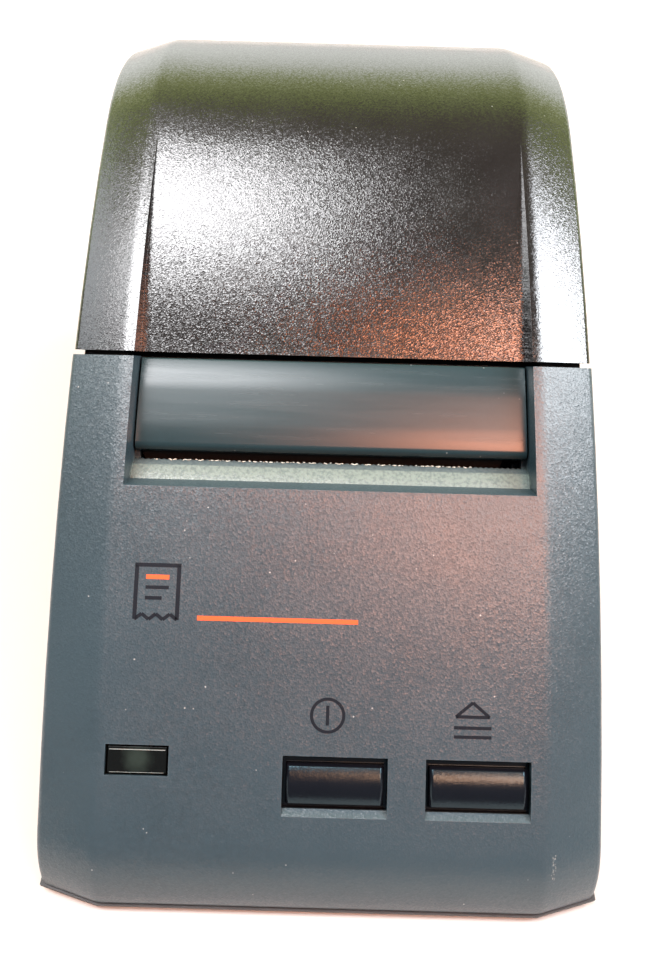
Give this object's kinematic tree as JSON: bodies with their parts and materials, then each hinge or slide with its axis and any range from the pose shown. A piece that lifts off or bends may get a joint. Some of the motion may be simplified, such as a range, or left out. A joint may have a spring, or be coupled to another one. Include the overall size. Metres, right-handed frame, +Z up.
{
  "type": "receipt printer",
  "caption": "Compact thermal receipt printer: sloping grey case with paper slot and push buttons, smoked hinged roll cover, geared platen and paper roll inside.",
  "frame": {"origin": "middle of the footprint, on the resting surface under the rubber feet", "axes": "+Z up, front with the buttons towards -Y, +X to the right of someone facing the printer"},
  "size_m": [0.1128, 0.208, 0.101],
  "materials": {
    "case_grey": "fine moulded texture",
    "panel_grey": "smooth satin",
    "smoked_black": "glossy with a fine grain, smoked",
    "black_plastic": "matt moulded",
    "button_black": "satin with a fine grain",
    "brown_plastic": "matt",
    "smoked_lens": "polished, smoked",
    "led_green": "clear tinted",
    "rubber": "matt",
    "zinc_plate": "zinc plated",
    "steel": "ground",
    "aluminium": "mill finish",
    "brass": "turned",
    "ceramic": "glazed",
    "white_plastic": "acetal",
    "lever_blue": "satin",
    "board_green": "solder mask",
    "paper": "uncoated thermal paper",
    "card": "raw card"
  },
  "bodies": {
    "printer_body": {"top_case": "case_grey", "base_case": "black_plastic", "exit_panel": "panel_grey", "paper_guide": "brown_plastic", "cover_rim": "black_plastic", "hinge_pin": "steel", "foot_front_left": "rubber", "foot_front_right": "rubber", "foot_rear_left": "rubber", "foot_rear_right": "rubber", "case_screw_front_left": "zinc_plate", "case_screw_front_right": "zinc_plate", "case_screw_rear_left": "zinc_plate", "case_screw_rear_right": "zinc_plate", "power_switch": "black_plastic", "feed_switch": "black_plastic", "panel_board": "board_green", "led_lens": "smoked_lens", "status_led": "led_green", "mech_frame": "zinc_plate", "platen_bush_left": "brown_plastic", "platen_bush_right": "brown_plastic", "idler_pin": "steel", "stepper_motor": "steel", "head_pin": "steel", "head_spring_left": "steel", "head_spring_right": "steel", "roll_bucket": "black_plastic", "main_board": "board_green", "serial_connector": "zinc_plate", "serial_jackscrew_left": "zinc_plate", "serial_jackscrew_right": "zinc_plate", "power_inlet": "black_plastic", "inlet_pin": "brass", "drawer_socket": "black_plastic"},
    "roll_cover": {"roll_cover": "smoked_black"},
    "power_button": {"power_button": "button_black"},
    "feed_button": {"feed_button": "button_black"},
    "platen": {"platen_shaft": "steel", "platen_roller": "rubber", "platen_gear": "white_plastic"},
    "idler": {"idler_gear": "white_plastic"},
    "pinion": {"motor_pinion": "brass", "motor_shaft": "steel"},
    "print_head": {"thermal_head": "ceramic", "head_heatsink": "aluminium"},
    "head_lever": {"head_lever": "lever_blue"},
    "roll": {"paper_roll": "paper", "roll_core": "card"}
  },
  "joints": [
    {"name": "cover_hinge", "type": "hinge", "parent": "printer_body", "child": "roll_cover", "pos_m": [0, 0.1012, 0.0451], "axis": [-1, 0, 0], "range_deg": [0, 95]},
    {"name": "power_button_press", "type": "slide", "parent": "printer_body", "child": "power_button", "axis": [0, 0.6225, -0.7826], "range_m": [0, 0.0015], "stiffness_N_per_m": 400, "springref_m": -0.0006},
    {"name": "feed_button_press", "type": "slide", "parent": "printer_body", "child": "feed_button", "axis": [0, 0.6225, -0.7826], "range_m": [0, 0.0015], "stiffness_N_per_m": 400, "springref_m": -0.0006},
    {"name": "platen_spin", "type": "hinge", "parent": "printer_body", "child": "platen", "pos_m": [0, -0.0162, 0.0446], "axis": [1, 0, 0], "continuous": true},
    {"name": "idler_spin", "type": "hinge", "parent": "printer_body", "child": "idler", "pos_m": [0, -0.02974, 0.03465], "axis": [1, 0, 0], "continuous": true},
    {"name": "pinion_spin", "type": "hinge", "parent": "printer_body", "child": "pinion", "pos_m": [0, -0.03877, 0.02802], "axis": [1, 0, 0], "continuous": true},
    {"name": "head_lift", "type": "hinge", "parent": "printer_body", "child": "print_head", "pos_m": [0, -0.0002, 0.0346], "axis": [1, 0, 0], "range_deg": [0, 3], "stiffness_Nm_per_rad": 0.6, "springref_deg": -3.44, "deforming": ["head_spring_left", "head_spring_right"]},
    {"name": "head_lever_turn", "type": "hinge", "parent": "printer_body", "child": "head_lever", "pos_m": [0, -0.0062, 0.0511], "axis": [1, 0, 0], "range_deg": [0, 30.5]},
    {"name": "roll_spin", "type": "hinge", "parent": "printer_body", "child": "roll", "pos_m": [0, 0.0523, 0.0534], "axis": [1, 0, 0], "continuous": true}
  ],
  "couplings": [
    {"joint": "idler_spin", "follows": "platen_spin", "ratio": -1.3333},
    {"joint": "pinion_spin", "follows": "platen_spin", "ratio": 2.4},
    {"joint": "head_lever_turn", "follows": "head_lift", "ratio": 10}
  ]
}
